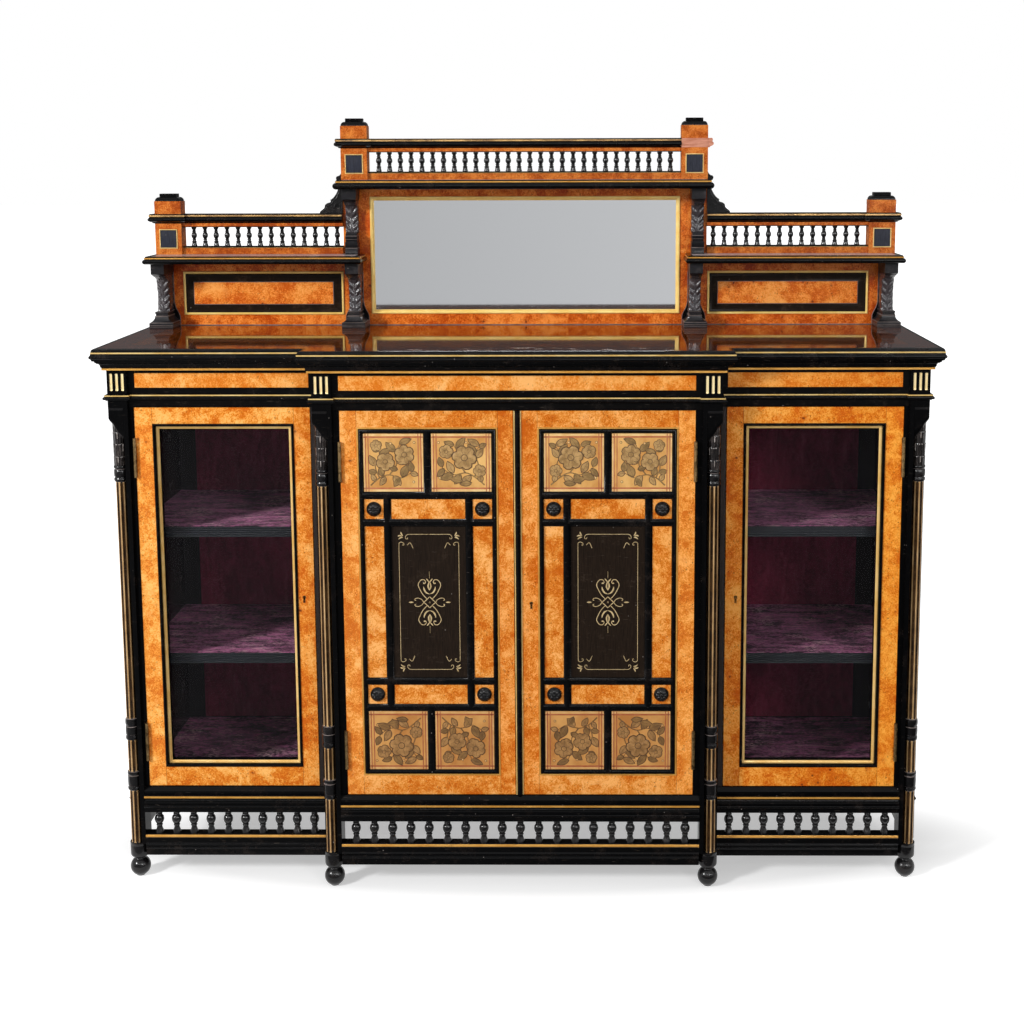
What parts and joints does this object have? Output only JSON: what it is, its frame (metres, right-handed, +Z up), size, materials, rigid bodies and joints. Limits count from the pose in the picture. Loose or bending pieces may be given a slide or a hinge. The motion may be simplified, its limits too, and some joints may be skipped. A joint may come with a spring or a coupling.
{
  "type": "breakfront side cabinet",
  "caption": "Breakfront side cabinet with glazed wings, panelled centre doors, mirrored superstructure with spindle galleries, ebonised mouldings and burl veneer",
  "frame": {"origin": "middle of the footprint's bounding box, on the floor", "axes": "+X to the viewer's right along the front, +Y to the back, +Z up; the doors face -Y"},
  "size_m": [1.64, 0.46, 1.528],
  "materials": {
    "ebonised_wood": "polished, worn edges",
    "amboyna_veneer": "burl veneer, polished",
    "carcass_wood": "stained",
    "gilt_wood": "water gilt, rubbed",
    "painted_tile": "gilt ground with painted flowers",
    "brass": "aged",
    "window_glass": "clear",
    "mirror_plate": "silvered",
    "velvet": "worn pile"
  },
  "bodies": {
    "carcass": {"side_panels": "ebonised_wood", "partitions": "carcass_wood", "floor_and_top_boards": "carcass_wood", "back_boards": "carcass_wood", "corner_posts": "ebonised_wood", "columns": "ebonised_wood", "turned_feet": "ebonised_wood", "worktop": "amboyna_veneer", "cornice": "ebonised_wood", "frieze_rails": "amboyna_veneer", "frieze_blocks": "ebonised_wood", "frieze_moulding": "ebonised_wood", "sill_rails": "ebonised_wood", "base_rails": "ebonised_wood", "base_spindles": "ebonised_wood", "shelves_and_bearers": "carcass_wood", "velvet_linings": "velvet", "frame_hinges": "brass", "backboard": "amboyna_veneer", "mirror_glass": "mirror_plate", "gilt_frames": "gilt_wood", "niche_panels": "ebonised_wood", "consoles": "ebonised_wood", "gallery_shelves": "ebonised_wood", "gallery_rails": "amboyna_veneer", "gallery_spindles": "ebonised_wood", "gallery_posts": "amboyna_veneer", "post_mouldings": "ebonised_wood", "scroll_brackets": "ebonised_wood"},
    "left_door": {"left_door_frame": "amboyna_veneer", "left_door_bead": "ebonised_wood", "left_door_slip": "gilt_wood", "left_door_glass": "window_glass", "left_door_hinges": "brass", "left_door_lock": "brass"},
    "right_door": {"right_door_frame": "amboyna_veneer", "right_door_bead": "ebonised_wood", "right_door_slip": "gilt_wood", "right_door_glass": "window_glass", "right_door_hinges": "brass", "right_door_lock": "brass"},
    "mid_left_door": {"mid_left_door_frame": "amboyna_veneer", "mid_left_door_panel": "ebonised_wood", "mid_left_door_mouldings": "ebonised_wood", "mid_left_door_tiles": "painted_tile", "mid_left_door_bosses": "ebonised_wood", "mid_left_door_hinges": "brass"},
    "mid_right_door": {"mid_right_door_frame": "amboyna_veneer", "mid_right_door_panel": "ebonised_wood", "mid_right_door_mouldings": "ebonised_wood", "mid_right_door_tiles": "painted_tile", "mid_right_door_bosses": "ebonised_wood", "mid_right_door_hinges": "brass", "mid_right_door_lock": "brass", "mid_right_door_meeting_bead": "ebonised_wood"},
    "left_lock_bolt": {"left_door_bolt": "brass"},
    "right_lock_bolt": {"right_door_bolt": "brass"},
    "mid_lock_bolt": {"mid_right_door_bolt": "brass"},
    "top_flush_bolt": {"mid_left_door_top_bolt": "brass"},
    "bottom_flush_bolt": {"mid_left_door_bottom_bolt": "brass"}
  },
  "joints": [
    {"name": "left_door_hinge", "type": "hinge", "parent": "carcass", "child": "left_door", "pos_m": [-0.748, -0.1586, 0.579], "axis": [0, 0, -1], "range_deg": [0, 100]},
    {"name": "right_door_hinge", "type": "hinge", "parent": "carcass", "child": "right_door", "pos_m": [0.748, -0.1586, 0.579], "axis": [0, 0, 1], "range_deg": [0, 100]},
    {"name": "mid_left_door_hinge", "type": "hinge", "parent": "carcass", "child": "mid_left_door", "pos_m": [-0.3419, -0.1986, 0.579], "axis": [0, 0, -1], "range_deg": [0, 100]},
    {"name": "mid_right_door_hinge", "type": "hinge", "parent": "carcass", "child": "mid_right_door", "pos_m": [0.3419, -0.1986, 0.579], "axis": [0, 0, 1], "range_deg": [0, 100]},
    {"name": "left_lock_bolt_slide", "type": "slide", "parent": "left_door", "child": "left_lock_bolt", "axis": [1, 0, 0], "range_m": [0, 0.008]},
    {"name": "right_lock_bolt_slide", "type": "slide", "parent": "right_door", "child": "right_lock_bolt", "axis": [-1, 0, 0], "range_m": [0, 0.008]},
    {"name": "mid_lock_bolt_slide", "type": "slide", "parent": "mid_right_door", "child": "mid_lock_bolt", "axis": [-1, 0, 0], "range_m": [0, 0.008]},
    {"name": "top_flush_bolt_slide", "type": "slide", "parent": "mid_left_door", "child": "top_flush_bolt", "axis": [0, 0, 1], "range_m": [0, 0.01]},
    {"name": "bottom_flush_bolt_slide", "type": "slide", "parent": "mid_left_door", "child": "bottom_flush_bolt", "axis": [0, 0, -1], "range_m": [0, 0.01]}
  ]
}
